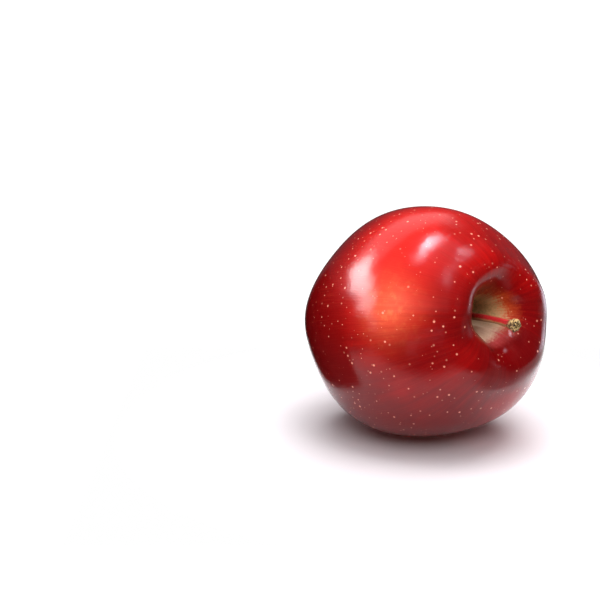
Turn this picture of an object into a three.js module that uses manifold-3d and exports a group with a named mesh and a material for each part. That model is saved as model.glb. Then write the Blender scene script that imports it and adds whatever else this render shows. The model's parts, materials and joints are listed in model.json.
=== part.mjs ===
// A fresh red apple of the tall, five-lobed kind, lying on its cheek.
// Millimetres, +Z up. The origin is the middle of the small flat spot that the apple rests on,
// and the stem end points towards -Y, a little above the horizontal.
//
// Each piece is first shaped upright: its own +Z runs up the core, from the calyx end (z = 0 at the
// calyx shoulders) to the stem end. The whole apple is then laid down.

import * as THREE from "three";
import { mergeVertices } from "three/addons/utils/BufferGeometryUtils.js";
import Module from "manifold-3d";

// ---- driving sizes, mm and degrees ----
const fruitRadius = 37.5;
const fruitHeight = 71;
const shoulderRadius = 19;
const cavityDepth = 20;
const cavityThroatRadius = 7.6;
const cavityFloorRadius = 3;
const calyxShoulderRadius = 18.5;
const calyxBasinDepth = 7.5;
const calyxBasinRadius = 9.2;
const calyxFloorRadius = 4.2;

const lobeCount = 5;
const lobeDirection = 17.5;
const lobeSwell = 0.8;
const shoulderLobeSwell = 0.5;
const calyxBumpHeight = 1.9;
const shoulderWave = 0.6;
const unevenSwell = 0.3;
const unevenDirection = 84;
const shoulderLean = new THREE.Vector2(2.5, -0.5);
const cavityShift = new THREE.Vector2(0, 2.2);

const stemRise = 15.5;
const flatSpotDepth = 0.45;

const stemLength = 26;
const stemThickness = 2.3;
const stemKnobWidth = 4.4;
const stemKnobLength = 3.6;
const stemLean = 10;
const stemBow = 1.2;

const sepalCount = 5;
const sepalLength = 8;
const sepalWidth = 3.4;
const sepalThickness = 0.7;
const sepalRingRadius = 3.7;

const stamenCount = 10;
const stamenLength = 4;
const stamenThickness = 0.4;
const antherWidth = 0.6;
const stamenRingRadius = 1.5;

const styleLength = 3.4;
const styleThickness = 0.9;

const gap = 0.3;

// ---- how finely the pieces are cut ----
const fruitRings = 46;
const fruitSides = 56;
const stemSides = 14;
const sepalSides = 10;
const threadSides = 6;

// ---- skins, wood and dried parts ----
const skinRed = new THREE.MeshStandardMaterial({ color: 0xa30f14, roughness: 0.28, metalness: 0 });
const stemBrown = new THREE.MeshStandardMaterial({ color: 0x7a3b22, roughness: 0.7, metalness: 0 });
const sepalGrey = new THREE.MeshStandardMaterial({ color: 0x6b5a3c, roughness: 0.9, metalness: 0 });
const stamenBrown = new THREE.MeshStandardMaterial({ color: 0x3f2d1c, roughness: 0.9, metalness: 0 });

// ---- small helpers ----
const wasm = await Module();
wasm.setup();

const radians = THREE.MathUtils.degToRad;
const smooth = THREE.MathUtils.smoothstep;

// A smooth outline of revolution: a uniform cubic B-spline over corners of (radius, height).
// Both ends lie on the axis, where the corners are mirrored, so the skin crosses the axis level.
class Outline extends THREE.Curve {
  constructor(corners) {
    super();
    this.corners = corners;
  }

  corner(index) {
    const last = this.corners.length - 1;
    const mirrored = index < 0 ? -index : 2 * last - index;
    const outside = index < 0 || index > last;
    const [radius, height] = this.corners[outside ? mirrored : index];
    return new THREE.Vector2(outside ? -radius : radius, height);
  }

  getPoint(t, target = new THREE.Vector2()) {
    const spans = this.corners.length - 1;
    const span = Math.min(Math.floor(t * spans), spans - 1);
    const u = t * spans - span;
    const weights = [(1 - u) ** 3, 3 * u ** 3 - 6 * u ** 2 + 4, 3 * (u + u ** 2 - u ** 3) + 1, u ** 3];
    target.set(0, 0);
    weights.forEach((weight, i) => target.addScaledVector(this.corner(span + i - 1), weight / 6));
    return target;
  }
}

// Moves every vertex of a geometry to where move(vertex) sends it.
function reshape(geometry, move) {
  const position = geometry.attributes.position;
  const vertex = new THREE.Vector3();
  for (let i = 0; i < position.count; i += 1) {
    move(vertex.fromBufferAttribute(position, i));
    position.setXYZ(i, vertex.x, vertex.y, vertex.z);
  }
  return geometry;
}

// A lathed solid about +Z, closed on the axis at both ends, with only its positions kept.
function turned(points, sides) {
  const geometry = new THREE.LatheGeometry(points, sides);
  geometry.deleteAttribute("normal");
  geometry.deleteAttribute("uv");
  geometry.rotateX(Math.PI / 2);
  return mergeVertices(geometry, 1e-4);
}

// A solid grown along a flat path: profile holds (radius, share of the path), and the section is
// squashed to `flatness` across the plane's own normal direction. side is normal to the plane.
function grown(path, side, profile, sides, flatness = 1) {
  const geometry = turned(profile.map(([radius, share]) => new THREE.Vector2(radius, share)), sides);
  const centre = new THREE.Vector3();
  const tangent = new THREE.Vector3();
  const across = new THREE.Vector3();
  reshape(geometry, (vertex) => {
    const share = THREE.MathUtils.clamp(vertex.z, 0, 1);
    path.getPointAt(share, centre);
    path.getTangentAt(share, tangent);
    across.crossVectors(tangent, side);
    const { x, y } = vertex;
    vertex.copy(centre).addScaledVector(side, x).addScaledVector(across, y * flatness);
  });
  return geometry;
}

function namedMesh(name, geometry, material) {
  geometry.computeVertexNormals();
  const mesh = new THREE.Mesh(geometry, material);
  mesh.name = name;
  return mesh;
}

// ---- the fruit's skin ----
const cavityFloor = fruitHeight - cavityDepth;

const fruitOutline = new Outline([
  [0, cavityFloor],
  [cavityFloorRadius, cavityFloor],
  [0.6 * cavityThroatRadius, cavityFloor + 0.25 * cavityDepth],
  [cavityThroatRadius, cavityFloor + 0.68 * cavityDepth],
  [0.62 * shoulderRadius, 0.99 * fruitHeight],
  [shoulderRadius, fruitHeight],
  [0.63 * fruitRadius, 0.915 * fruitHeight],
  [0.91 * fruitRadius, 0.775 * fruitHeight],
  [1.015 * fruitRadius, 0.58 * fruitHeight],
  [1.01 * fruitRadius, 0.37 * fruitHeight],
  [0.86 * fruitRadius, 0.16 * fruitHeight],
  [0.59 * fruitRadius, 0.03 * fruitHeight],
  [calyxShoulderRadius, -0.02 * fruitHeight],
  [calyxBasinRadius, 0.01 * fruitHeight],
  [1.4 * calyxFloorRadius, 0.75 * calyxBasinDepth],
  [calyxFloorRadius, calyxBasinDepth],
  [0, calyxBasinDepth],
]);

// Where the growing fruit really puts a point of the plain turned shape: five lobes that are
// strongest at the calyx end, a slightly uneven girth, a leaning shoulder and an off-centre cavity.
function growSkin(vertex) {
  const height = vertex.z;
  const radius = Math.hypot(vertex.x, vertex.y);
  const angle = Math.atan2(vertex.y, vertex.x);
  const wave = Math.cos(lobeCount * (angle - radians(lobeDirection)));
  const uneven = Math.cos(3 * (angle - radians(unevenDirection)));
  const nearCalyx = 1 - smooth(height, 0.03 * fruitHeight, 0.75 * fruitHeight);
  const swell = shoulderLobeSwell + (lobeSwell - shoulderLobeSwell) * nearCalyx;
  const outward = smooth(radius, 4, 14) * ((wave * swell * radius) / fruitRadius + uneven * unevenSwell);
  const bump = wave * calyxBumpHeight * (1 - smooth(height, -2, 16)) * smooth(radius, 3, 13);
  const crest = wave * shoulderWave * smooth(height, 0.8 * fruitHeight, fruitHeight) * smooth(radius, 5, 16);
  const lean = smooth(height, 0.35 * fruitHeight, 0.95 * fruitHeight);
  const inCavity = smooth(height, 0.5 * fruitHeight, 0.7 * fruitHeight) * (1 - smooth(radius, 6, 20));
  vertex.x += outward * Math.cos(angle) + shoulderLean.x * lean + cavityShift.x * inCavity;
  vertex.y += outward * Math.sin(angle) + shoulderLean.y * lean + cavityShift.y * inCavity;
  vertex.z += crest - bump;
  return vertex;
}

const layDown = new THREE.Matrix4().makeRotationX(Math.PI / 2 - radians(stemRise));

function solidFrom(geometry) {
  const { position } = geometry.attributes;
  const vertProperties = new Float32Array(position.array);
  const triVerts = new Uint32Array(geometry.index.array);
  return new wasm.Manifold(new wasm.Mesh({ numProp: 3, vertProperties, triVerts }));
}

function geometryFrom(solid) {
  const { vertProperties, triVerts } = solid.getMesh();
  const geometry = new THREE.BufferGeometry();
  geometry.setAttribute("position", new THREE.BufferAttribute(vertProperties, 3));
  geometry.setIndex(new THREE.BufferAttribute(triVerts, 1));
  return geometry;
}

// The laid-down skin, and the middle of the flat spot pressed into its lowest place.
function laidFruit() {
  const outlinePoints = fruitOutline.getPoints(fruitRings).reverse();
  const skin = reshape(turned(outlinePoints, fruitSides), growSkin).applyMatrix4(layDown);
  skin.computeBoundingBox();
  const floorHeight = skin.boundingBox.min.z + flatSpotDepth;
  const pressed = new THREE.Box3();
  reshape(skin, (vertex) => {
    if (vertex.z < floorHeight) {
      pressed.expandByPoint(vertex);
    }
  });
  const spot = pressed.getCenter(new THREE.Vector3()).setZ(floorHeight);
  skin.translate(-spot.x, -spot.y, -spot.z);
  const blockSize = 4 * fruitHeight;
  const table = mergeVertices(
    new THREE.BoxGeometry(blockSize, blockSize, blockSize)
      .translate(0, 0, -blockSize / 2)
      .deleteAttribute("normal")
      .deleteAttribute("uv"),
  );
  return { geometry: geometryFrom(solidFrom(skin).subtract(solidFrom(table))), spot };
}

// ---- the stem, rooted in the cavity's floor ----
function stemGeometry() {
  const root = growSkin(new THREE.Vector3(0, 0, cavityFloor));
  root.z += gap;
  const tilt = radians(stemLean);
  const tip = root.clone().add(new THREE.Vector3(0, -Math.sin(tilt), Math.cos(tilt)).multiplyScalar(stemLength));
  const middle = root.clone().lerp(tip, 0.5).add(new THREE.Vector3(0, stemBow, 0));
  const path = new THREE.QuadraticBezierCurve3(root, middle, tip);
  const shaft = stemThickness / 2;
  const knob = stemKnobWidth / 2;
  const knobShare = stemKnobLength / stemLength;
  const profile = [
    [0, 0],
    [0.95 * shaft, 0],
    [1.3 * shaft, 0.03],
    [1.15 * shaft, 0.12],
    [shaft, 0.3],
    [0.95 * shaft, 0.6],
    [1.05 * shaft, 1 - 1.7 * knobShare],
    [0.8 * knob, 1 - 0.95 * knobShare],
    [knob, 1 - 0.5 * knobShare],
    [0.93 * knob, 1 - 0.15 * knobShare],
    [0.6 * knob, 1],
    [0, 1],
  ];
  return grown(path, new THREE.Vector3(1, 0, 0), profile, stemSides);
}

// ---- the dried flower in the calyx basin ----
// Its pieces stand on the basin's floor and point out of it, towards -Z.
function radial(angle, radius, depth) {
  return new THREE.Vector3(radius * Math.cos(angle), radius * Math.sin(angle), calyxBasinDepth - depth);
}

function sepalGeometry(angle) {
  const foot = gap + 0.35 * sepalThickness;
  const path = new THREE.CatmullRomCurve3([
    radial(angle, sepalRingRadius, foot),
    radial(angle, 0.86 * sepalRingRadius, foot + 0.28 * sepalLength),
    radial(angle, 0.83 * sepalRingRadius, foot + 0.56 * sepalLength),
    radial(angle, 1.25 * sepalRingRadius, foot + 0.86 * sepalLength),
  ]);
  const side = new THREE.Vector3(-Math.sin(angle), Math.cos(angle), 0);
  const half = sepalWidth / 2;
  const profile = [
    [0, 0],
    [0.7 * half, 0.01],
    [half, 0.12],
    [0.92 * half, 0.3],
    [0.75 * half, 0.5],
    [0.55 * half, 0.7],
    [0.33 * half, 0.87],
    [0, 1],
  ];
  return grown(path, side, profile, sepalSides, sepalThickness / sepalWidth);
}

function threadGeometry(angle, ringRadius, length, thickness, headWidth) {
  const path = new THREE.LineCurve3(radial(angle, ringRadius, gap), radial(angle, ringRadius, gap + length));
  const side = new THREE.Vector3(-Math.sin(angle), Math.cos(angle), 0);
  const profile = [
    [0, 0],
    [thickness / 2, 0],
    [thickness / 2, 0.75],
    [headWidth / 2, 0.83],
    [headWidth / 2, 0.95],
    [0, 1],
  ];
  return grown(path, side, profile, threadSides);
}

// ---- the apple ----
const apple = new THREE.Group();
const fruit = laidFruit();
apple.add(namedMesh("fruit", fruit.geometry, skinRed));

const laid = new THREE.Group();
laid.quaternion.setFromRotationMatrix(layDown);
laid.position.copy(fruit.spot).negate();
apple.add(laid);

laid.add(namedMesh("stem", stemGeometry(), stemBrown));

for (let i = 0; i < sepalCount; i += 1) {
  const angle = radians(lobeDirection) + (2 * Math.PI * i) / sepalCount;
  laid.add(namedMesh(`sepal_${i + 1}`, sepalGeometry(angle), sepalGrey));
}

for (let i = 0; i < stamenCount; i += 1) {
  const angle = radians(lobeDirection) + (2 * Math.PI * (i + 0.5)) / stamenCount;
  const geometry = threadGeometry(angle, stamenRingRadius, stamenLength, stamenThickness, antherWidth);
  laid.add(namedMesh(`stamen_${String(i + 1).padStart(2, "0")}`, geometry, stamenBrown));
}

laid.add(namedMesh("style_column", threadGeometry(0, 0, styleLength, styleThickness, styleThickness), stamenBrown));

export default apple;
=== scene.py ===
"""A red, five-lobed apple lying on its cheek: the looks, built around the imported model."""

import json
import math
import random

import bpy
import numpy as np
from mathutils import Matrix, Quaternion, Vector

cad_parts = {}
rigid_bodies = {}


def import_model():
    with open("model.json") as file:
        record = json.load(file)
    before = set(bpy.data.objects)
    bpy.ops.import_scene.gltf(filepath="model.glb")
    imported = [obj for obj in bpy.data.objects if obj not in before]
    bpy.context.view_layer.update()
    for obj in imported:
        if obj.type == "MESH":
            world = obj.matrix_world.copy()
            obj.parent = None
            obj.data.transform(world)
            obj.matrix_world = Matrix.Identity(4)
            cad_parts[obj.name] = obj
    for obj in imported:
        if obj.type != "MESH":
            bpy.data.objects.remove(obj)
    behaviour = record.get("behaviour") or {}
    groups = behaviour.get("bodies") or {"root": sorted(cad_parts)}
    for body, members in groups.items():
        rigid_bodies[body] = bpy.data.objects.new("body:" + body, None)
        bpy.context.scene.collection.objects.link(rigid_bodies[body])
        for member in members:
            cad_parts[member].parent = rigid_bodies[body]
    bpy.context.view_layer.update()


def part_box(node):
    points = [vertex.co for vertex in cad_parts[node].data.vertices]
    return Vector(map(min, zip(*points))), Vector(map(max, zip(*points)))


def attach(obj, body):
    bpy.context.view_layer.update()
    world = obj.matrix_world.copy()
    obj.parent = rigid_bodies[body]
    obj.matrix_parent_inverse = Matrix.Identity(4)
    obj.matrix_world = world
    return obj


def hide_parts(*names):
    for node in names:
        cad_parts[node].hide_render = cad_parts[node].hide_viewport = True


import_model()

MM = 0.001

# ---- the apple's sizes, in mm and degrees, as the frame was built with ----
FRUIT_RADIUS = 37.5
FRUIT_HEIGHT = 71.0
SHOULDER_RADIUS = 19.0
CAVITY_DEPTH = 20.0
CAVITY_THROAT_RADIUS = 7.6
CAVITY_FLOOR_RADIUS = 3.0
CALYX_SHOULDER_RADIUS = 18.5
CALYX_BASIN_DEPTH = 7.5
CALYX_BASIN_RADIUS = 9.2
CALYX_FLOOR_RADIUS = 4.2

LOBE_COUNT = 5
LOBE_DIRECTION = math.radians(17.5)
LOBE_SWELL = 0.8
SHOULDER_LOBE_SWELL = 0.5
CALYX_BUMP_HEIGHT = 1.9
SHOULDER_WAVE = 0.6
UNEVEN_SWELL = 0.3
UNEVEN_DIRECTION = math.radians(84)
SHOULDER_LEAN = (2.5, -0.5)
CAVITY_SHIFT = (0.0, 2.2)

STEM_RISE = math.radians(15.5)

STEM_LENGTH = 26.0
STEM_THICKNESS = 2.3
STEM_KNOB_WIDTH = 4.4
STEM_KNOB_LENGTH = 3.6
STEM_LEAN = math.radians(10)
STEM_BOW = 1.2

SEPAL_LENGTH = 8.0
SEPAL_WIDTH = 3.4
SEPAL_RING_RADIUS = 3.7

STAMEN_COUNT = 10
STAMEN_LENGTH = 4.0
STAMEN_THICKNESS = 0.4
ANTHER_WIDTH = 0.6
STAMEN_RING_RADIUS = 1.5
STYLE_LENGTH = 3.4
STYLE_THICKNESS = 0.9

# The gap that the CAD pieces keep to the fruit. The pieces made here reach across it and touch.
GAP = 0.3

CAVITY_FLOOR = FRUIT_HEIGHT - CAVITY_DEPTH

# ---- the small shapes that only the looks have, in mm ----
SKIN_WOBBLE = 0.08
BASIN_FOLD = 0.55
BASIN_RIPPLE = 0.12
BASIN_RIPPLE_COUNT = 31
SEPAL_HALF_THICKNESS = 0.17

# ---- how finely the pieces are drawn ----
FRUIT_RINGS, FRUIT_SIDES = 340, 400
STEM_SIDES, STEM_END_RINGS = 72, 14
SEPAL_ROWS, SEPAL_COLUMNS = 34, 15
STAMEN_RINGS, STAMEN_SIDES = 26, 12
STYLE_RINGS, STYLE_SIDES = 30, 20

# ---- the camera: lengths in metres, the lens in mm ----
CAMERA_AZIMUTH = math.radians(-34.4)
CAMERA_ELEVATION = math.radians(14.8)
CAMERA_DISTANCE = 0.407
CAMERA_LENS = 73.9
APPLE_RIGHT_OF_CENTRE = 0.0405
APPLE_BELOW_CENTRE = 0.0065


# ---- numbers ----
def smooth(value, start, end):
    share = np.clip((value - start) / (end - start), 0, 1)
    return share * share * (3 - 2 * share)


def bell(value, width):
    return np.exp(-((value / width) ** 2))


def turn_from(angle, centre):
    """The signed way round from centre to angle, between -pi and pi."""
    return (angle - centre + math.pi) % (2 * math.pi) - math.pi


def patch(angle, degrees, width):
    """1 in the direction degrees round the core, and fading over width, in radians."""
    return bell(turn_from(angle, math.radians(degrees)), width)


def upright_to_lying(points):
    """Turns points (..., 3) from the upright apple to the lying one."""
    across, up, along = points[..., 0], points[..., 1], points[..., 2]
    sine, cosine = math.sin(STEM_RISE), math.cos(STEM_RISE)
    return np.stack([across, up * sine - along * cosine, up * cosine + along * sine], -1)


# ---- the skin's shape ----
OUTLINE = [
    (0, CAVITY_FLOOR),
    (CAVITY_FLOOR_RADIUS, CAVITY_FLOOR),
    (0.6 * CAVITY_THROAT_RADIUS, CAVITY_FLOOR + 0.25 * CAVITY_DEPTH),
    (CAVITY_THROAT_RADIUS, CAVITY_FLOOR + 0.68 * CAVITY_DEPTH),
    (0.62 * SHOULDER_RADIUS, 0.99 * FRUIT_HEIGHT),
    (SHOULDER_RADIUS, FRUIT_HEIGHT),
    (0.63 * FRUIT_RADIUS, 0.915 * FRUIT_HEIGHT),
    (0.91 * FRUIT_RADIUS, 0.775 * FRUIT_HEIGHT),
    (1.015 * FRUIT_RADIUS, 0.58 * FRUIT_HEIGHT),
    (1.01 * FRUIT_RADIUS, 0.37 * FRUIT_HEIGHT),
    (0.86 * FRUIT_RADIUS, 0.16 * FRUIT_HEIGHT),
    (0.59 * FRUIT_RADIUS, 0.03 * FRUIT_HEIGHT),
    (CALYX_SHOULDER_RADIUS, -0.02 * FRUIT_HEIGHT),
    (CALYX_BASIN_RADIUS, 0.01 * FRUIT_HEIGHT),
    (1.4 * CALYX_FLOOR_RADIUS, 0.75 * CALYX_BASIN_DEPTH),
    (CALYX_FLOOR_RADIUS, CALYX_BASIN_DEPTH),
    (0, CALYX_BASIN_DEPTH),
]


def outline(share):
    """(radius, height) on the cubic B-spline over OUTLINE, whose ends are mirrored at the axis."""
    corners = np.array(OUTLINE, float)
    mirror = np.array([-1, 1])
    corners = np.vstack([corners[1] * mirror, corners, corners[-2] * mirror])
    spans = len(OUTLINE) - 1
    place = np.clip(share, 0, 1) * spans
    span = np.minimum(place.astype(int), spans - 1)
    u = (place - span)[..., None]
    first, second, third, fourth = (corners[span + i] for i in range(4))
    weighted = (
        (1 - u) ** 3 * first
        + (3 * u**3 - 6 * u**2 + 4) * second
        + (3 * (u + u**2 - u**3) + 1) * third
        + u**3 * fourth
    )
    return weighted / 6


def grow(radius, height, angle):
    """Where the growing fruit puts a point of the plain turned shape, upright."""
    wave = np.cos(LOBE_COUNT * (angle - LOBE_DIRECTION))
    uneven = np.cos(3 * (angle - UNEVEN_DIRECTION))
    near_calyx = 1 - smooth(height, 0.03 * FRUIT_HEIGHT, 0.75 * FRUIT_HEIGHT)
    swell = SHOULDER_LOBE_SWELL + (LOBE_SWELL - SHOULDER_LOBE_SWELL) * near_calyx
    outward = smooth(radius, 4, 14) * (wave * swell * radius / FRUIT_RADIUS + uneven * UNEVEN_SWELL)
    bump = wave * CALYX_BUMP_HEIGHT * (1 - smooth(height, -2, 16)) * smooth(radius, 3, 13)
    crest = wave * SHOULDER_WAVE * smooth(height, 0.8 * FRUIT_HEIGHT, FRUIT_HEIGHT) * smooth(radius, 5, 16)
    lean = smooth(height, 0.35 * FRUIT_HEIGHT, 0.95 * FRUIT_HEIGHT)
    in_cavity = smooth(height, 0.5 * FRUIT_HEIGHT, 0.7 * FRUIT_HEIGHT) * (1 - smooth(radius, 6, 20))
    across = (radius + outward) * np.cos(angle) + SHOULDER_LEAN[0] * lean + CAVITY_SHIFT[0] * in_cavity
    up = (radius + outward) * np.sin(angle) + SHOULDER_LEAN[1] * lean + CAVITY_SHIFT[1] * in_cavity
    return np.stack([across, up, height + crest - bump], -1)


def mesh_object(name, points, faces, smooth_shading=True):
    """An object from points in metres, in the frame's own place."""
    mesh = bpy.data.meshes.new(name)
    mesh.from_pydata([tuple(p) for p in points], [], faces)
    mesh.validate()
    mesh.update()
    mesh.polygons.foreach_set("use_smooth", [smooth_shading] * len(mesh.polygons))
    piece = bpy.data.objects.new(name, mesh)
    bpy.context.scene.collection.objects.link(piece)
    return piece


def add_number(piece, name, values):
    """A number at each vertex, for the materials to read."""
    layer = piece.data.attributes.new(name, "FLOAT", "POINT")
    layer.data.foreach_set("value", np.asarray(values, np.float32).ravel())


def add_vector(piece, name, values):
    layer = piece.data.attributes.new(name, "FLOAT_VECTOR", "POINT")
    layer.data.foreach_set("vector", np.asarray(values, np.float32).ravel())


def ring_faces(rings, sides, reverse=False):
    """Faces over rings of points, closed at both ends by the two points that follow the rings'.

    They face outwards where the rings turn right-handed along their order, else with reverse.
    """
    here = np.arange(sides)
    after = (here + 1) % sides
    faces = []
    for ring in range(rings - 1):
        start, end = ring * sides, (ring + 1) * sides
        faces += np.stack([start + here, start + after, end + after, end + here], 1).tolist()
    first, last, last_ring = rings * sides, rings * sides + 1, (rings - 1) * sides
    faces += [[first, b, a] for a, b in zip(here.tolist(), after.tolist())]
    faces += [[last, last_ring + a, last_ring + b] for a, b in zip(here.tolist(), after.tolist())]
    return [[face[0], *face[:0:-1]] for face in faces] if reverse else faces


def place_of_fruit():
    """The upright apple's place in the frame, in mm: its laid-down box goes onto the CAD fruit's."""
    share = np.linspace(0, 1, 240)[:, None]
    angle = np.linspace(0, 2 * math.pi, 240, endpoint=False)[None, :]
    section = outline(share + 0 * angle)
    skin = upright_to_lying(grow(section[..., 0], section[..., 1], angle)).reshape(-1, 3)
    low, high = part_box("fruit")
    middle = (np.array(low) + np.array(high)) / 2 / MM
    shift = middle - (skin.min(0) + skin.max(0)) / 2
    shift[2] = high[2] / MM - skin[:, 2].max()
    return shift


PLACE = place_of_fruit()


def in_frame(upright_mm):
    return (upright_to_lying(np.asarray(upright_mm, float)) + PLACE) * MM


# ---- the skin's places: directions in degrees round the core, heights and radii in mm ----
# The radius at which the measure of the way into the cavity starts.
THROAT_REACH = 16.0
BLUSH_DIRECTION, BLUSH_HEIGHT = 164, 55.2
CHEEK_DIRECTION, CHEEK_HEIGHT = 125, 50
PALE_WALL_DIRECTION = 282

# The radial folds of the cavity's wall, and its bulges: (direction, half width, depth in mm).
CAVITY_FOLDS = [
    (math.radians(293), math.radians(6), 0.9),
    (math.radians(267), math.radians(20), -2.9),
    (math.radians(330), math.radians(12), 0.3),
    (math.radians(28), math.radians(12), 0.3),
    (math.radians(98), math.radians(16), 0.3),
    (math.radians(165), math.radians(12), 0.3),
]


def wobble(angle, along, seed):
    """A slow, even wobble of the skin, made of a few waves round and along the fruit."""
    draw = random.Random(seed)
    waves = 9
    total = 0
    for _ in range(waves):
        turns = draw.randint(1, 7)
        swings = draw.uniform(1, 5)
        total = total + np.cos(turns * angle + swings * math.pi * along + draw.uniform(0, 2 * math.pi))
    return total / waves


def skin_points(share, angle, radius, height):
    """The grown shape, upright, with its wobble and with the folds of the cavity and the basin."""
    skin = grow(radius, height, angle)
    # outward normals, from the neighbouring points
    normal = np.cross(np.roll(skin, -1, 1) - np.roll(skin, 1, 1), np.gradient(skin, axis=0))
    normal /= np.linalg.norm(normal, axis=-1, keepdims=True) + 1e-9
    in_cavity = smooth(height, 0.6 * FRUIT_HEIGHT, 0.8 * FRUIT_HEIGHT) * (1 - smooth(radius, 8, 16))
    in_basin = (1 - smooth(height, 0.02 * FRUIT_HEIGHT, 0.2 * FRUIT_HEIGHT)) * (1 - smooth(radius, 9, 17))
    off_middle = smooth(radius, 1.5, 4.5)
    on_wall = smooth(radius, 3.2, 6)
    depth = SKIN_WOBBLE * wobble(angle, share, 3) * smooth(radius, 16, 26)
    for direction, half_width, fold in CAVITY_FOLDS:
        depth = depth - fold * bell(turn_from(angle, direction), half_width) * in_cavity * on_wall
    for i in range(LOBE_COUNT):
        valley = LOBE_DIRECTION + (i + 0.5) * 2 * math.pi / LOBE_COUNT
        depth = depth - BASIN_FOLD * bell(turn_from(angle, valley), 0.13) * in_basin * off_middle
    ripple = np.cos(BASIN_RIPPLE_COUNT * angle + 2 * np.sin(3 * angle))
    depth = depth - BASIN_RIPPLE * in_basin * off_middle * ripple
    return skin + normal * depth[..., None]


def skin_measures(radius, height, angle):
    """The numbers that the skin's material reads, by name: where its colour and gloss change."""
    near_stem = smooth(height, 0.5 * FRUIT_HEIGHT, 0.6 * FRUIT_HEIGHT)
    reach = THROAT_REACH * (1 + 0.18 * np.cos(angle - math.radians(330)))
    reach = reach * (1 - 0.13 * patch(angle, 112, 0.6))
    reach = reach * (1 - 0.32 * patch(angle, 246, 0.38))
    dull = patch(angle, 50, 0.45) * (1 - smooth(radius, 15, 19)) * near_stem
    dull = dull + patch(angle, 186, 0.52) * (1 - smooth(radius, 14.5, 17.5)) * near_stem
    dull = dull + patch(angle, 258, 0.5) * smooth(height, 65, 69)
    # painted shade: darker skin on the side that faces the floor, and on the flank at 188 degrees towards
    # the calyx
    painted_shade_low = patch(angle, 236, 0.48) * (1 - 0.8 * smooth(height, 55, 68))
    painted_shade_low = painted_shade_low + 0.7 * patch(angle, 188, 0.5) * (1 - smooth(height, 34, 48))
    return {
        "throat": np.clip(1 - radius / reach, 0, 1) * near_stem,
        "dull": dull,
        "basin": (1 - smooth(height, -1, 12)) * (1 - smooth(radius, 5, 16)),
        "stem_end": smooth(height, 0.35 * FRUIT_HEIGHT, 0.97 * FRUIT_HEIGHT),
        "blush": patch(angle, BLUSH_DIRECTION, 0.27) * bell(height - BLUSH_HEIGHT, 5.8),
        # darker red near the top round the cavity towards 152 degrees, and painted shade there towards 305
        # degrees
        "shoulder_dark_and_painted_shade": smooth(height, 60, 68) * (patch(angle, 152, 0.6) + patch(angle, 305, 0.9)),
        "cheek": patch(angle, CHEEK_DIRECTION, 0.8) * bell(height - CHEEK_HEIGHT, 14),
        "painted_shade_low": painted_shade_low,
        "pale_wall": patch(angle, PALE_WALL_DIRECTION, 0.8),
    }


def fruit_skin():
    """The whole skin as one closed mesh, finer than the CAD fruit and of the same shape."""
    share = np.linspace(0, 1, FRUIT_RINGS)[:, None]
    angle = np.linspace(0, 2 * math.pi, FRUIT_SIDES, endpoint=False)[None, :] + 0 * share
    section = outline(share + 0 * angle)
    radius, height = section[..., 0], section[..., 1]
    laid = in_frame(skin_points(share, angle, radius, height))
    laid[..., 2] = np.maximum(laid[..., 2], 0)
    # the rings at both ends close to a point each
    points = np.vstack([laid[1:-1].reshape(-1, 3), laid[0].mean(0), laid[-1].mean(0)])
    piece = mesh_object("apple_skin", points, ring_faces(FRUIT_RINGS - 2, FRUIT_SIDES, reverse=True))

    def per_point(values):
        flat = values[1:-1].reshape((-1,) + values.shape[2:])
        return np.concatenate([flat, values[:1, 0], values[-1:, 0]])

    step = np.linalg.norm(np.diff(section[:, 0], axis=0), axis=1)
    along = np.concatenate([[0], np.cumsum(step)])[:, None] + 0 * angle
    growth = np.stack([np.cos(angle), np.sin(angle), along / along.max()], -1)
    add_vector(piece, "growth", per_point(growth))
    for name, values in skin_measures(radius, height, angle).items():
        add_number(piece, name, per_point(values))
    return piece


# ---- tubes along a path, and the stem ----
def tube_rings(centres, side, radii, angle):
    """A tube's rings of points (n, sides, 3), in the frame, in metres.

    centres (n, 3) are in upright mm, side is a normal of the path's plane, radii (n, 1 or sides).
    """
    tangent = np.gradient(centres, axis=0)
    tangent /= np.linalg.norm(tangent, axis=1, keepdims=True)
    across = np.cross(tangent, side)
    across /= np.linalg.norm(across, axis=1, keepdims=True)
    radius = radii + 0 * angle
    ring = np.cos(angle)[None, :, None] * side[None, None, :]
    ring = ring + np.sin(angle)[None, :, None] * across[:, None, :]
    return in_frame(centres[:, None, :] + radius[..., None] * ring)


def closed_tube(name, rings, foot, tip):
    """One closed mesh of a tube's rings, with a point at each end."""
    points = np.vstack([rings.reshape(-1, 3), foot, tip])
    return mesh_object(name, points, ring_faces(*rings.shape[:2]))


def tube(name, centres, side, radii, sides):
    angle = np.linspace(0, 2 * math.pi, sides, endpoint=False)
    rings = tube_rings(centres, side, radii[:, None], angle)
    return closed_tube(name, rings, in_frame(centres[0]), in_frame(centres[-1]))


def bezier(start, middle, end, share):
    u = share[:, None]
    return (1 - u) ** 2 * start + 2 * u * (1 - u) * middle + u**2 * end


def stem_radii(share, knob_share):
    """The stem's radius along it, in mm, softened over a few rings."""
    # the lumps of the bark make up the rest of the knob's width
    shaft, knob = STEM_THICKNESS / 2, STEM_KNOB_WIDTH / 2 * 0.9
    marks = [
        (0, 1.75 * shaft),
        (0.03, 1.4 * shaft),
        (0.12, 1.12 * shaft),
        (0.3, shaft),
        (0.6, 0.95 * shaft),
        (1 - 2.2 * knob_share, 0.96 * shaft),
        (1 - 1.1 * knob_share, 1.05 * shaft),
        (1 - 0.62 * knob_share, 0.74 * knob),
        (1 - 0.36 * knob_share, 0.98 * knob),
        (1 - 0.12 * knob_share, 1.0 * knob),
        (1 - 0.03 * knob_share, 0.9 * knob),
        (1.0, 0.8 * knob),
    ]
    radii = np.interp(share, [m[0] for m in marks], [m[1] for m in marks])
    reach = 3
    kernel = np.hanning(2 * reach + 1)
    return np.convolve(np.pad(radii, reach, mode="edge"), kernel / kernel.sum(), mode="valid")


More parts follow.
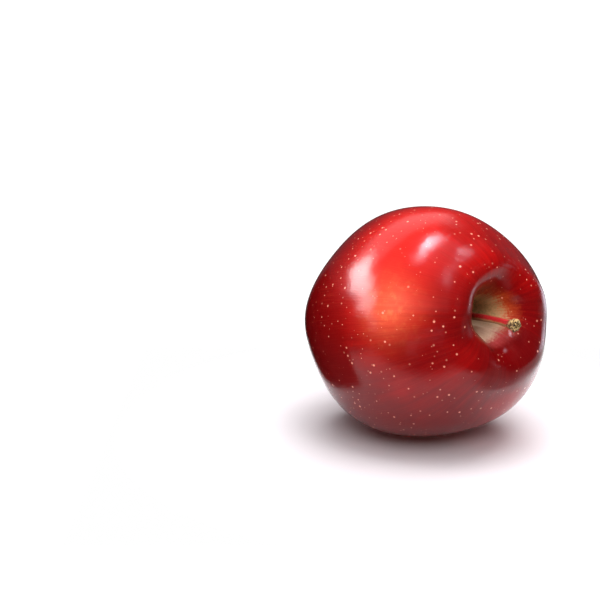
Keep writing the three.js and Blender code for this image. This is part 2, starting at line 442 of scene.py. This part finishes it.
def bark(share, angle, knob_share):
    """How far the bark stands out, as a share of the radius: ridges, and lumps on the knob."""
    draw = random.Random(11)
    waves = [(draw.randint(3, 9), draw.uniform(4, 30), draw.uniform(0, 6.3)) for _ in range(8)]
    ridges = 0.035 * np.cos(5 * angle + 1.5 * share) + 0.02 * np.cos(11 * angle - 3 * share)
    on_knob = smooth(share, 1 - knob_share, 1 - 0.5 * knob_share)
    lumps = sum(np.cos(n * angle + k * share * math.pi + p) for n, k, p in waves) / len(waves)
    return ridges * (1 - 0.5 * on_knob) + (0.05 + 0.13 * on_knob) * lumps


def broken_end(last_ring, outwards, spread, angle):
    """The rings of the broken end, each spread times as wide as the last ring, dished and pitted."""
    middle = last_ring.mean(0)
    rings = []
    for wide in spread:
        pits = 0.16 * np.cos(3 * angle + 7 * wide) + 0.14 * np.cos(7 * angle - 9 * wide)
        pits = pits + 0.1 * np.cos(13 * angle + 21 * wide)
        dish = 0.34 * smooth(1 - wide, 0, 0.25) - 0.55 * smooth(1 - wide, 0.3, 0.95)
        rise = dish + pits * smooth(1 - wide, 0, 0.3)
        rings.append(middle + (last_ring - middle) * wide + outwards * rise[:, None] * MM)
    return np.array(rings)


def stem():
    """The woody stalk: a bowed shaft that widens at its root and to a knob with a broken end."""
    knob_share = STEM_KNOB_LENGTH / STEM_LENGTH
    share = np.concatenate([np.linspace(0, 0.8, 90), np.linspace(0.8, 1, 60)[1:]])
    angle = np.linspace(0, 2 * math.pi, STEM_SIDES, endpoint=False)
    root = grow(np.float64(0), np.float64(CAVITY_FLOOR), np.float64(0))
    along = np.array([0, -math.sin(STEM_LEAN), math.cos(STEM_LEAN)])
    tip = root + along * (STEM_LENGTH + GAP)
    middle = (root + tip) / 2 + np.array([0, STEM_BOW, 0])
    radii = stem_radii(share, knob_share)[:, None] * (1 + bark(share[:, None], angle, knob_share))
    rings = tube_rings(bezier(root, middle, tip, share), np.array([1.0, 0, 0]), radii, angle)
    spread = 1 - np.arange(1, STEM_END_RINGS) / STEM_END_RINGS
    outwards = upright_to_lying(along)
    end_rings = broken_end(rings[-1], outwards, spread, angle)
    end_middle = rings[-1].mean(0) - outwards * 0.2 * MM
    piece = closed_tube("apple_stem", np.concatenate([rings, end_rings]), in_frame(root), end_middle)

    def per_point(on_shaft, on_end):
        return np.concatenate([np.repeat(np.concatenate([on_shaft, on_end]), STEM_SIDES), [0, 1]])

    add_number(piece, "share", per_point(share, np.ones(len(spread))))
    add_number(piece, "end_face", per_point(np.zeros(len(share)), np.ones(len(spread))))
    circle = np.stack([np.cos(angle), np.sin(angle), 0 * angle], 1)
    round_about = np.concatenate([np.ones(len(share)), spread])[:, None, None] * circle
    add_vector(piece, "round", np.vstack([round_about.reshape(-1, 3), np.zeros((2, 3))]))
    return piece


# ---- the dried flower in the calyx basin ----
def basin_point(angle, radius, depth):
    return np.array([radius * math.cos(angle), radius * math.sin(angle), CALYX_BASIN_DEPTH - depth])


def curve_through(marks, count):
    """A smooth curve through marks: Catmull-Rom, evenly stepped."""
    marks = np.array(marks, float)
    marks = np.vstack([2 * marks[0] - marks[1], marks, 2 * marks[-1] - marks[-2]])
    fine = []
    for i in range(1, len(marks) - 2):
        a, b, c, d = marks[i - 1 : i + 3]
        bend, skew = 2 * a - 5 * b + 4 * c - d, 3 * b - 3 * c + d - a
        for u in np.linspace(0, 1, 24, endpoint=False):
            fine.append(0.5 * (2 * b + (c - a) * u + bend * u**2 + skew * u**3))
    fine.append(marks[-2])
    fine = np.array(fine)
    length = np.concatenate([[0], np.cumsum(np.linalg.norm(np.diff(fine, axis=0), axis=1))])
    even = np.linspace(0, length[-1], count)
    return np.stack([np.interp(even, length, fine[:, k]) for k in range(3)], 1)


def leaf_faces(rows, columns):
    """The faces of a thin leaf: its top grid of points, its bottom grid, and the rim between them."""
    count = rows * columns
    faces = []
    for i in range(rows - 1):
        for j in range(columns - 1):
            a, b = i * columns + j, i * columns + j + 1
            c, d = b + columns, a + columns
            faces += [[a, b, c, d], [count + d, count + c, count + b, count + a]]
    rim = list(range(columns))
    rim += [i * columns + columns - 1 for i in range(1, rows)]
    rim += [(rows - 1) * columns + j for j in range(columns - 2, -1, -1)]
    rim += [i * columns for i in range(rows - 2, 0, -1)]
    return faces + [[b, a, count + a, count + b] for a, b in zip(rim, rim[1:] + rim[:1])]


def sepal(index):
    """A dried, cupped leaf with a curled tip, a few veins and a ragged edge."""
    draw = random.Random(100 + index)
    direction = LOBE_DIRECTION + 2 * math.pi * index / LOBE_COUNT
    curl = draw.uniform(0.85, 1.45)
    twist = draw.uniform(-0.5, 0.5)
    length = SEPAL_LENGTH * draw.uniform(0.92, 1.04)
    marks = [
        basin_point(direction, 1.12 * SEPAL_RING_RADIUS, -0.1),
        basin_point(direction, 0.9 * SEPAL_RING_RADIUS, 0.22 * length),
        basin_point(direction, 0.78 * SEPAL_RING_RADIUS, 0.5 * length),
        basin_point(direction + 0.12 * twist, curl * SEPAL_RING_RADIUS, 0.82 * length),
        basin_point(direction + 0.2 * twist, (curl + 0.45) * SEPAL_RING_RADIUS, 0.8 * length),
    ]
    path = curve_through(marks, SEPAL_ROWS)
    tangent = np.gradient(path, axis=0)
    tangent /= np.linalg.norm(tangent, axis=1, keepdims=True)
    share = np.linspace(0, 1, SEPAL_ROWS)
    width_at, width = [0, 0.12, 0.3, 0.5, 0.7, 0.88, 1], [0.85, 1, 0.95, 0.78, 0.55, 0.3, 0.05]
    half = SEPAL_WIDTH / 2 * np.interp(share, width_at, width)
    ragged = [draw.uniform(0.9, 1.06) for _ in range(SEPAL_ROWS)]
    side = np.array([-math.sin(direction), math.cos(direction), 0])
    top, bottom = [], []
    for i in range(SEPAL_ROWS):
        turn = twist * share[i] ** 2
        level = side - tangent[i] * side.dot(tangent[i])
        level /= np.linalg.norm(level)
        upright = np.cross(tangent[i], level)
        flat = level * math.cos(turn) + upright * math.sin(turn)
        out = upright * math.cos(turn) - level * math.sin(turn)
        for x in np.linspace(-1, 1, SEPAL_COLUMNS):
            cup = 0.55 * half[i] * x * x * (1 - 0.6 * share[i])
            vein = 0.05 * math.cos(3 * math.pi * x)
            point = path[i] + flat * x * half[i] * ragged[i] - out * (cup + vein)
            thick = SEPAL_HALF_THICKNESS * (1 - 0.6 * abs(x) ** 3) * (1 - 0.5 * share[i])
            top.append(point + out * thick)
            bottom.append(point - out * thick)
    points = in_frame(np.array(top + bottom))
    return mesh_object(f"apple_sepal_{index + 1}", points, leaf_faces(SEPAL_ROWS, SEPAL_COLUMNS))


def stamen(index):
    """A dried thread with a small head."""
    draw = random.Random(300 + index)
    direction = LOBE_DIRECTION + 2 * math.pi * (index + 0.5) / STAMEN_COUNT
    bend = draw.uniform(-0.25, 0.25)
    length = STAMEN_LENGTH * draw.uniform(0.85, 1.1)
    marks = [
        basin_point(direction, STAMEN_RING_RADIUS * 1.15, -GAP),
        basin_point(direction + 0.3 * bend, STAMEN_RING_RADIUS, 0.4 * length),
        basin_point(direction + bend, STAMEN_RING_RADIUS * draw.uniform(0.8, 1.1), length),
    ]
    share = np.linspace(0, 1, STAMEN_RINGS)
    thread, head = STAMEN_THICKNESS / 2, ANTHER_WIDTH / 2
    radii = thread * (1.1 - 0.35 * share)
    radii = radii + (head - radii) * smooth(share, 0.74, 0.84) * (1 - 0.9 * smooth(share, 0.93, 1.0))
    side = np.array([-math.sin(direction), math.cos(direction), 0])
    path = curve_through(marks, STAMEN_RINGS)
    return tube(f"apple_stamen_{index + 1:02d}", path, side, radii, STAMEN_SIDES)


def style_column():
    """The dried pistil in the middle, with a rounded tip."""
    share = np.linspace(0, 1, STYLE_RINGS)
    along = CALYX_BASIN_DEPTH + GAP - share * (STYLE_LENGTH + 0.5)
    path = np.stack([0.12 * np.sin(3 * share), 0 * share, along], 1)
    radii = STYLE_THICKNESS / 2 * (1.15 - 0.35 * share + 0.15 * smooth(share, 0.85, 0.95))
    radii[-1] *= 0.5
    return tube("apple_style_column", path, np.array([0.0, 1.0, 0.0]), radii, STYLE_SIDES)


# ---- materials ----
class Shading:
    """Makes one node material; each method adds a node and returns its output."""

    def __init__(self, name):
        self.material = bpy.data.materials.new(name)
        self.material.use_nodes = True
        self.tree = self.material.node_tree
        self.shader = self.tree.nodes["Principled BSDF"]

    def set(self, **numbers):
        for name, value in numbers.items():
            self.shader.inputs[name.replace("_", " ")].default_value = value

    def feed(self, socket, value):
        if isinstance(value, bpy.types.NodeSocket):
            self.tree.links.new(value, socket)
        elif value is not None:
            socket.default_value = value

    def attribute(self, name, output="Fac"):
        node = self.tree.nodes.new("ShaderNodeAttribute")
        node.attribute_name = name
        return node.outputs[output]

    def place(self):
        return self.tree.nodes.new("ShaderNodeTexCoord").outputs["Object"]

    def scaled(self, vector, scale):
        node = self.tree.nodes.new("ShaderNodeVectorMath")
        node.operation = "MULTIPLY"
        self.feed(node.inputs[0], vector)
        node.inputs[1].default_value = scale
        return node.outputs[0]

    def math(self, operation, first, second=None, third=None, clamp=False):
        node = self.tree.nodes.new("ShaderNodeMath")
        node.operation = operation
        node.use_clamp = clamp
        for socket, value in zip(node.inputs, (first, second, third)):
            self.feed(socket, value)
        return node.outputs[0]

    def noise(self, vector, scale, detail=3.0, roughness=0.5, distortion=0.0):
        node = self.tree.nodes.new("ShaderNodeTexNoise")
        self.feed(node.inputs["Vector"], vector)
        node.inputs["Scale"].default_value = scale
        node.inputs["Detail"].default_value = detail
        node.inputs["Roughness"].default_value = roughness
        node.inputs["Distortion"].default_value = distortion
        return node.outputs["Fac"]

    def cells(self, vector, scale):
        node = self.tree.nodes.new("ShaderNodeTexVoronoi")
        self.feed(node.inputs["Vector"], vector)
        node.inputs["Scale"].default_value = scale
        return node.outputs["Distance"], node.outputs["Color"]

    def ramp(self, value, low, high, start=0.0, end=1.0):
        node = self.tree.nodes.new("ShaderNodeMapRange")
        node.interpolation_type = "SMOOTHSTEP"
        self.feed(node.inputs["Value"], value)
        self.feed(node.inputs["From Min"], low)
        self.feed(node.inputs["From Max"], high)
        self.feed(node.inputs["To Min"], start)
        self.feed(node.inputs["To Max"], end)
        return node.outputs["Result"]

    def about_zero(self, noise, height):
        """A noise from 0 to 1, moved to lie about zero and scaled to height."""
        return self.math("MULTIPLY", self.math("SUBTRACT", noise, 0.5), height)

    def weigh(self, first, first_weight, second, second_weight):
        return self.math(
            "ADD", self.math("MULTIPLY", first, first_weight), self.math("MULTIPLY", second, second_weight)
        )

    def mix(self, share, first, second, blend="MIX"):
        node = self.tree.nodes.new("ShaderNodeMix")
        node.data_type = "RGBA"
        node.blend_type = blend
        self.feed(node.inputs["Factor"], share)
        for socket, colour in ((node.inputs[6], first), (node.inputs[7], second)):
            self.feed(socket, (*colour, 1) if isinstance(colour, tuple) else colour)
        return node.outputs[2]

    def bump(self, height, distance, strength=1.0, normal=None):
        node = self.tree.nodes.new("ShaderNodeBump")
        node.inputs["Strength"].default_value = strength
        node.inputs["Distance"].default_value = distance
        self.feed(node.inputs["Height"], height)
        if normal is not None:
            self.feed(node.inputs["Normal"], normal)
        return node.outputs["Normal"]

    def finish(self, colour, roughness=None, normal=None, coat=None):
        self.feed(self.shader.inputs["Base Color"], colour)
        if roughness is not None:
            self.feed(self.shader.inputs["Roughness"], roughness)
        if normal is not None:
            self.feed(self.shader.inputs["Normal"], normal)
        if coat is not None:
            self.feed(self.shader.inputs["Coat Weight"], coat)
        return self.material


CRIMSON = (0.155, 0.001, 0.002)
RED = (0.39, 0.003, 0.003)
CHEEK_RED = (0.60, 0.014, 0.010)
BLUSH = (0.88, 0.115, 0.055)
BLUSH_MOTTLE = (1.0, 0.24, 0.09)
RUSSET = (0.60, 0.31, 0.14)
OLIVE = (0.30, 0.19, 0.07)
FLAME = (0.42, 0.05, 0.012)
CREAM = (0.88, 0.66, 0.50)
DARK_CREAM = (0.76, 0.52, 0.36)
PINK = (0.44, 0.06, 0.062)
DOT = (0.95, 0.36, 0.25)
BASIN_ORANGE = (0.40, 0.10, 0.035)
BASIN_YELLOW = (0.38, 0.27, 0.07)

BARK_DARK = (0.24, 0.085, 0.03)
BARK_LIGHT = (0.46, 0.25, 0.11)
BARK_RED = (0.42, 0.016, 0.02)
BARK_FLECK = (0.10, 0.035, 0.015)
# painted shade for the stem's foot, down in the cavity
STEM_FOOT_SHADE = (0.07, 0.02, 0.01)
KNOB_DARK = (0.07, 0.032, 0.012)
KNOB_LIGHT = (0.58, 0.38, 0.16)
END_PIT = (0.02, 0.01, 0.005)
END_WOOD = (0.66, 0.46, 0.20)

SEPAL_DARK, SEPAL_LIGHT = (0.10, 0.065, 0.03), (0.26, 0.20, 0.11)
STAMEN_DARK, STAMEN_LIGHT = (0.035, 0.02, 0.012), (0.14, 0.08, 0.04)


def throat_share(radius):
    """The throat measure at a radius in mm."""
    return 1 - radius / THROAT_REACH


def skin_red(s, growth, place, streak, fine_streak):
    """Red, deeper and brighter by clouds and streaks, with a lighter cheek and the orange blush; deeper
    crimson round the cavity, partly as darker red and partly as painted shade, and painted shade on the
    lower sides.
    """
    cloud = s.noise(place, 34, 3, 0.5)
    depth = s.weigh(cloud, 0.72, streak, 0.28)
    ripeness_and_painted_shade = s.math("ADD", depth, s.ramp(s.attribute("stem_end"), 0.0, 0.6, -0.20, 0.02))
    # deeper crimson near the top round the cavity: partly darker red, partly painted shade
    ripeness_and_painted_shade = s.math("SUBTRACT", ripeness_and_painted_shade, s.math("MULTIPLY", s.attribute("shoulder_dark_and_painted_shade"), 0.28))
    # painted shade on the lower sides: less red, more crimson
    ripeness_and_painted_shade = s.math("SUBTRACT", ripeness_and_painted_shade, s.math("MULTIPLY", s.attribute("painted_shade_low"), 0.25))
    colour = s.mix(s.ramp(ripeness_and_painted_shade, 0.29, 0.72), CRIMSON, RED)
    cheek = s.math("MULTIPLY", s.attribute("cheek"), s.ramp(cloud, 0.3, 0.6, 0.75, 1.0), clamp=True)
    colour = s.mix(cheek, colour, CHEEK_RED)
    blush = s.math("MULTIPLY", s.attribute("blush"), s.ramp(fine_streak, 0.25, 0.7, 0.7, 1.0), clamp=True)
    mottle = s.ramp(s.noise(place, 420, 3, 0.6), 0.45, 0.75, 0.0, 0.6)
    colour = s.mix(blush, colour, s.mix(mottle, BLUSH, BLUSH_MOTTLE))
    colour = s.mix(s.ramp(fine_streak, 0.50, 0.75, 0.0, 0.15), colour, CRIMSON)
    fibre = s.noise(s.scaled(growth, (150, 150, 12)), 1.0, 3, 0.7)
    colour = s.mix(s.ramp(fibre, 0.45, 0.75, 0.0, 0.12), colour, CRIMSON)
    return s.mix(s.ramp(fibre, 0.48, 0.25, 0.0, 0.09), colour, BLUSH)


def cavity_colour(s, colour, place, streak, fine_streak):
    """The stem cavity over the red: russet, olive and cream, running out in streaks.

    Gives the colour, and how far a point is inside the russet.
    """
    flecks = s.noise(place, 1300, 3, 0.6)
    ragged = s.math("ADD", s.about_zero(fine_streak, 0.12), s.about_zero(streak, 0.14))
    ragged = s.math("ADD", ragged, s.about_zero(flecks, 0.16))
    pale_side = s.attribute("pale_wall")
    ragged = s.math("MULTIPLY", ragged, s.ramp(pale_side, 0.2, 0.8, 1.0, 0.55))
    throat = s.attribute("throat")
    reach = s.math("ADD", throat, ragged)
    deeper = s.ramp(throat, throat_share(6.5), throat_share(3.0), 0.0, 0.6)
    wall = s.mix(s.math("ADD", s.ramp(flecks, 0.3, 0.7, 0, 0.6), deeper), RUSSET, OLIVE)
    pale = s.mix(s.ramp(fine_streak, 0.35, 0.65), CREAM, DARK_CREAM)
    wall = s.mix(pale_side, wall, pale)
    edge = s.mix(pale_side, FLAME, PINK)
    colour = s.mix(s.ramp(reach, throat_share(9.6), throat_share(6.6)), colour, edge)
    russet = s.ramp(reach, throat_share(7.3), throat_share(5.4))
    return s.mix(russet, colour, wall), russet


def basin_colour(s, colour, fine_streak):
    """The calyx basin over the red: orange, then yellow-green streaks near the flower."""
    reach = s.math("ADD", s.attribute("basin"), s.about_zero(fine_streak, 0.8))
    colour = s.mix(s.ramp(reach, 0.35, 0.8), colour, BASIN_ORANGE)
    return s.mix(s.ramp(reach, 0.7, 1.05), colour, BASIN_YELLOW)


def lenticels(s, place):
    """The pale dots, from two grids of cells: (cells per metre, size near the calyx, near the stem)."""
    dots = None
    for scale, near_calyx, near_stem in ((400, 0.16, 0.16), (520, 0.12, 0.07)):
        distance, chance = s.cells(place, scale)
        split = s.tree.nodes.new("ShaderNodeSeparateXYZ")
        s.feed(split.inputs[0], chance)
        size = s.ramp(s.attribute("stem_end"), 0.15, 0.9, near_calyx, near_stem)
        size = s.math("MULTIPLY", size, s.ramp(split.outputs[0], 0.1, 0.9, 0.75, 1.15))
        inside = s.ramp(s.math("DIVIDE", distance, size), 1.0, 0.45)
        dot = s.math("MULTIPLY", inside, s.ramp(split.outputs[1], 0.15, 0.5, 0.35, 1.0))
        dots = dot if dots is None else s.math("MAXIMUM", dots, dot)
    return dots


def skin_material():
    """Waxed skin: colour from the growth's streaks and the measured places, a coat for the gloss."""
    s = Shading("apple_skin")
    growth = s.attribute("growth", "Vector")
    place = s.place()
    fine_streak = s.noise(s.scaled(growth, (46, 46, 7)), 1.0, 4, 0.65)
    streak = s.noise(s.scaled(growth, (17, 17, 3)), 1.0, 3, 0.55, 0.2)
    colour = skin_red(s, growth, place, streak, fine_streak)
    colour, russet = cavity_colour(s, colour, place, streak, fine_streak)
    colour = basin_colour(s, colour, fine_streak)
    dots = s.math("MULTIPLY", lenticels(s, place), s.math("SUBTRACT", 1.0, russet, clamp=True))
    colour = s.mix(s.math("MULTIPLY", dots, 0.9), colour, DOT)
    roughness = s.math("ADD", s.ramp(russet, 0, 1, 0.27, 0.62), s.math("MULTIPLY", fine_streak, 0.08))
    grain = s.noise(s.scaled(growth, (80, 80, 20)), 1.0, 3, 0.65)
    pores = s.noise(place, 1500, 2, 0.5)
    normal = s.bump(s.weigh(grain, 0.55, pores, 0.45), 0.00014, 0.55)
    normal = s.bump(s.math("MULTIPLY", dots, -1.0), 0.00004, 0.6, normal)
    s.set(IOR=1.40, Specular_IOR_Level=0.06, Coat_Roughness=0.115, Coat_IOR=1.42)
    s.feed(s.shader.inputs["Coat Normal"], normal)
    waxed = s.ramp(russet, 0, 1, 0.85, 0.0)
    coat = s.math("MULTIPLY", waxed, s.ramp(s.attribute("dull"), 0.1, 0.8, 1.0, 0.15))
    return s.finish(colour, roughness, normal, coat)


def stem_material():
    """Brown bark that is red on its sunny side and has painted shade towards its root, a pale fissured
    knob and a pitted end.
    """
    s = Shading("apple_stem")
    share = s.attribute("share")
    place = s.place()
    round_about = s.attribute("round", "Vector")
    grain = s.noise(s.scaled(round_about, (2.4, 2.4, 2.4)), 1.0, 5, 0.7)
    blotch = s.noise(place, 420, 4, 0.65)
    facing = s.tree.nodes.new("ShaderNodeVectorMath")
    facing.operation = "DOT_PRODUCT"
    s.feed(facing.inputs[0], round_about)
    facing.inputs[1].default_value = (-0.75, 0.66, 0)
    sunny = s.math("ADD", facing.outputs["Value"], s.about_zero(blotch, 0.5))
    colour = s.mix(s.ramp(grain, 0.35, 0.65), BARK_DARK, BARK_LIGHT)
    colour = s.mix(s.ramp(sunny, 0.58, 0.85), colour, BARK_RED)
    colour = s.mix(s.ramp(blotch, 0.55, 0.75, 0, 0.5), colour, BARK_FLECK)
    # painted shade: the stem darkens towards its root, down in the cavity
    colour = s.mix(s.ramp(share, 0.5, 0.05, 0.0, 0.85), colour, STEM_FOOT_SHADE)
    knob = s.ramp(s.math("ADD", share, s.about_zero(blotch, 0.12)), 0.87, 0.92)
    fissures = s.ramp(s.noise(place, 800, 4, 0.6, 0.6), 0.42, 0.60)
    colour = s.mix(knob, colour, s.mix(fissures, KNOB_DARK, KNOB_LIGHT))
    pits = s.ramp(s.noise(place, 1250, 3, 0.55, 0.8), 0.43, 0.55)
    colour = s.mix(s.attribute("end_face"), colour, s.mix(pits, END_PIT, END_WOOD))
    height = s.weigh(s.noise(place, 1300, 4, 0.65), 0.8, grain, 0.6)
    normal = s.bump(height, 0.0003, 0.7)
    s.set(IOR=1.45)
    return s.finish(colour, s.ramp(knob, 0, 1, 0.45, 0.75), normal)


def dried_material(name, dark, light, scale):
    """Withered, blotched and fibrous."""
    s = Shading(name)
    place = s.place()
    blotch = s.noise(place, scale, 4, 0.65)
    fibre = s.noise(place, 5 * scale, 3, 0.7)
    colour = s.mix(s.ramp(blotch, 0.35, 0.65), dark, light)
    bleached = tuple(min(1, 1.6 * c) for c in light)
    colour = s.mix(s.ramp(fibre, 0.5, 0.8, 0, 0.5), colour, bleached)
    normal = s.bump(s.math("ADD", fibre, blotch), 0.00025, 0.8)
    s.set(IOR=1.45, Sheen_Weight=0.35, Sheen_Roughness=0.5)
    return s.finish(colour, s.ramp(blotch, 0.3, 0.7, 0.75, 0.95), normal)


def dress(piece, material, node):
    """Gives a piece its material, hangs it on the root body and hides the CAD node it stands for."""
    piece.data.materials.append(material)
    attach(piece, "root")
    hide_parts(node)


# ---- the stage: camera, floor and lights ----
# How far the floor runs from the apple, seen from the camera, in metres. It runs furthest to the
# right, where the lip of the stem cavity mirrors it.
FLOOR_FRONT = 0.092
FLOOR_BACK = 0.09
FLOOR_LEFT = 0.105
FLOOR_RIGHT = 0.4
# The distances from the rest spot, in metres, between which the floor fades to plain white.
FLOOR_FADE = (0.065, 0.105)

FLAG_DIRECTION = -124
FLAG_DISTANCE = 0.046
FLAG_HALF_SIZE = 0.03
FLAG_LIFT = 0.0005

STAGE = ("floor", "flag")

BACKDROP_STRENGTH = 1.2
ROOM_STRENGTH = 0.06

WINDOW_WHITE = (1, 0.96, 0.98)
WALL_WHITE = (1, 0.94, 0.97)
LAVENDER = (0.88, 0.86, 1.0)
SKIN_GLOW = (1, 0.28, 0.2)


def direction(azimuth, elevation):
    """The unit vector towards azimuth (0 is -Y, 90 is +X) and elevation, in degrees."""
    a, e = math.radians(azimuth), math.radians(elevation)
    return Vector((math.sin(a) * math.cos(e), -math.cos(a) * math.cos(e), math.sin(e)))


def aim_at(obj, target):
    obj.rotation_mode = "QUATERNION"
    obj.rotation_quaternion = (target - obj.location).to_track_quat("-Z", "Y")


fruit_low, fruit_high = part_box("fruit")
HEART = (Vector(fruit_low) + Vector(fruit_high)) / 2


def camera():
    """The photo's view: the apple lies right of the middle and a little below it."""
    back = direction(math.degrees(CAMERA_AZIMUTH), math.degrees(CAMERA_ELEVATION))
    right = (-back).cross(Vector((0, 0, 1))).normalized()
    up = right.cross(-back)
    target = HEART - right * APPLE_RIGHT_OF_CENTRE + up * APPLE_BELOW_CENTRE
    data = bpy.data.cameras.new("camera")
    data.lens = CAMERA_LENS
    data.clip_start, data.clip_end = 0.01, 50
    made = bpy.data.objects.new("camera", data)
    made.location = target + back * CAMERA_DISTANCE
    aim_at(made, target)
    bpy.context.scene.collection.objects.link(made)
    bpy.context.scene.camera = made


def floor_material():
    """Matt white near the apple, fading to a plain white glow."""
    s = Shading("floor")
    s.set(Roughness=0.7)
    s.finish((0.87, 0.83, 0.86, 1))
    glow = s.tree.nodes.new("ShaderNodeEmission")
    glow.inputs["Color"].default_value = (1, 1, 1, 1)
    distance = s.tree.nodes.new("ShaderNodeVectorMath")
    distance.operation = "LENGTH"
    s.feed(distance.inputs[0], s.place())
    mix = s.tree.nodes.new("ShaderNodeMixShader")
    s.feed(mix.inputs[0], s.ramp(distance.outputs["Value"], *FLOOR_FADE))
    s.feed(mix.inputs[1], s.shader.outputs[0])
    s.feed(mix.inputs[2], glow.outputs[0])
    s.feed(s.tree.nodes["Material Output"].inputs["Surface"], mix.outputs[0])
    return s.material


def floor():
    """A white board. It fades to plain white away from the apple, so that no edge of it shows."""
    facing = direction(math.degrees(CAMERA_AZIMUTH), 0)
    across = Vector((0, 0, 1)).cross(facing)
    front, back = facing * FLOOR_FRONT, -facing * FLOOR_BACK
    left, right = -across * FLOOR_LEFT, across * FLOOR_RIGHT
    corners = [front + right, front + left, back + left, back + right]
    board = mesh_object("floor", corners, [[0, 3, 2, 1]], False)
    board.data.materials.append(floor_material())


def flag():
    """A black card that only reflections see. It stands for the photo's dark neighbour apple."""
    facing = direction(FLAG_DIRECTION, 0)
    centre = HEART + facing * FLAG_DISTANCE
    across = Vector((0, 0, 1)).cross(facing) * FLAG_HALF_SIZE
    up = Vector((0, 0, FLAG_HALF_SIZE))
    centre.z = up.z + FLAG_LIFT
    corners = [centre - across - up, centre + across - up, centre + across + up, centre - across + up]
    card = mesh_object("flag", corners, [[0, 1, 2, 3]], False)
    s = Shading("flag")
    s.set(Specular_IOR_Level=0.0)
    card.data.materials.append(s.finish((0.012, 0.003, 0.003, 1), 1.0))
    card.visible_camera = False
    card.visible_shadow = False
    card.visible_diffuse = False


def light_object(name, light, place, diffuse=True, glossy=True):
    made = bpy.data.objects.new(name, light)
    made.location = place
    made.visible_camera = False
    made.visible_diffuse = diffuse
    made.visible_glossy = glossy
    bpy.context.scene.collection.objects.link(made)
    return made


def softbox(name, azimuth, elevation, distance, size, power, colour=(1, 1, 1), turn=0, **seen):
    """A soft rectangular light aimed at the apple, and turned about its own axis, in degrees.

    diffuse=False makes it only mirrored; glossy=False keeps it out of reflections.
    """
    light = bpy.data.lights.new(name, "AREA")
    light.shape = "RECTANGLE"
    light.size, light.size_y = size
    light.energy = power
    light.color = colour
    made = light_object(name, light, HEART + direction(azimuth, elevation) * distance, **seen)
    aim_at(made, HEART)
    made.rotation_quaternion = made.rotation_quaternion @ Quaternion((0, 0, 1), math.radians(turn))
    return made


def red_bounce():
    """The red light that the skin throws onto the floor around its foot: it casts no shadow."""
    light = bpy.data.lights.new("red_bounce", "POINT")
    light.energy = 0.0032
    light.color = SKIN_GLOW
    light.shadow_soft_size = 0.01
    light.use_shadow = False
    return light_object("red_bounce", light, HEART, glossy=False)


def shines_on(light, *stage):
    """Keeps a light to the named stage pieces, or to the apple where none is named."""
    lit = bpy.data.collections.new(light.name + "_lights")
    for piece in bpy.context.scene.objects:
        if piece.type == "MESH" and (piece.name in stage if stage else piece.name not in STAGE):
            lit.objects.link(piece)
    light.light_linking.receiver_collection = lit


def lights():
    """The apple and the floor are lit apart, as bright as each is in the photo."""
    unmirrored = {"glossy": False}
    shines_on(softbox("key", -60, 37, 0.8, (0.35, 0.35), 5.0, (1, 0.96, 0.92), **unmirrored))
    shines_on(softbox("overhead", -95, 75, 0.8, (0.6, 0.6), 6.4, (1, 0.99, 0.97), **unmirrored))
    shines_on(softbox("behind", 140, 48, 0.9, (0.6, 0.6), 6.0, (1, 0.97, 0.97), **unmirrored))
    shines_on(softbox("front_fill", 0, 42, 0.8, (0.4, 0.4), 2.0, **unmirrored))
    shines_on(softbox("floor_top", 112, 78, 0.8, (0.8, 0.8), 8.9, **unmirrored), "floor")
    shines_on(softbox("floor_front", -30, 60, 0.9, (1.1, 1.1), 8.7, **unmirrored), "floor")
    shines_on(red_bounce(), "floor")


def mirrored_lights():
    """What the skin mirrors: a window of four panes, a lamp overhead, two walls and a thin gleam."""
    window = {"colour": WINDOW_WHITE, "diffuse": False}
    softbox("window_top", -146, 41, 0.7, (0.21, 0.18), 2.0, **window)
    softbox("window_middle", -124, 37, 0.7, (0.25, 0.22), 2.9, **window)
    softbox("window_low", -103, 27, 0.7, (0.20, 0.26), 1.6, **window)
    room = {"colour": LAVENDER, "diffuse": False}
    softbox("window_foot", -88, 10, 0.7, (0.14, 0.16), 0.12, **room)
    softbox("lamp", 211, 89.3, 0.7, (0.07, 0.12), 1.7, turn=-84, **room)
    softbox("back_wall", 165, 52, 1.2, (1.3, 0.6), 3.0, WALL_WHITE, diffuse=False)
    softbox("side_wall", 89, -5, 0.9, (0.74, 0.26), 1.9, **room)
    softbox("front_gleam", -50, -7, 0.7, (0.03, 0.14), 0.025, **room)


def world():
    """White to the camera; to the apple and floor, a dim room that is lighter overhead."""
    made = bpy.data.worlds.new("room")
    made.use_nodes = True
    tree = made.node_tree
    tree.nodes.clear()
    out = tree.nodes.new("ShaderNodeOutputWorld")
    seen = tree.nodes.new("ShaderNodeBackground")
    seen.inputs["Color"].default_value = (1, 1, 1, 1)
    seen.inputs["Strength"].default_value = BACKDROP_STRENGTH
    room = tree.nodes.new("ShaderNodeBackground")
    room.inputs["Color"].default_value = (0.9, 0.9, 1, 1)
    room.inputs["Strength"].default_value = ROOM_STRENGTH
    path = tree.nodes.new("ShaderNodeLightPath")
    mix = tree.nodes.new("ShaderNodeMixShader")
    tree.links.new(path.outputs["Is Camera Ray"], mix.inputs[0])
    tree.links.new(room.outputs[0], mix.inputs[1])
    tree.links.new(seen.outputs[0], mix.inputs[2])
    tree.links.new(mix.outputs[0], out.inputs[0])
    bpy.context.scene.world = made


# ---- the apple ----
camera()
dress(fruit_skin(), skin_material(), "fruit")
dress(stem(), stem_material(), "stem")
sepal_look = dried_material("apple_sepal", SEPAL_DARK, SEPAL_LIGHT, 700)
for i in range(LOBE_COUNT):
    dress(sepal(i), sepal_look, f"sepal_{i + 1}")
stamen_look = dried_material("apple_stamen", STAMEN_DARK, STAMEN_LIGHT, 1200)
for i in range(STAMEN_COUNT):
    dress(stamen(i), stamen_look, f"stamen_{i + 1:02d}")
dress(style_column(), stamen_look, "style_column")
floor()
flag()
lights()
mirrored_lights()
world()
bpy.context.scene.view_settings.view_transform = "Standard"
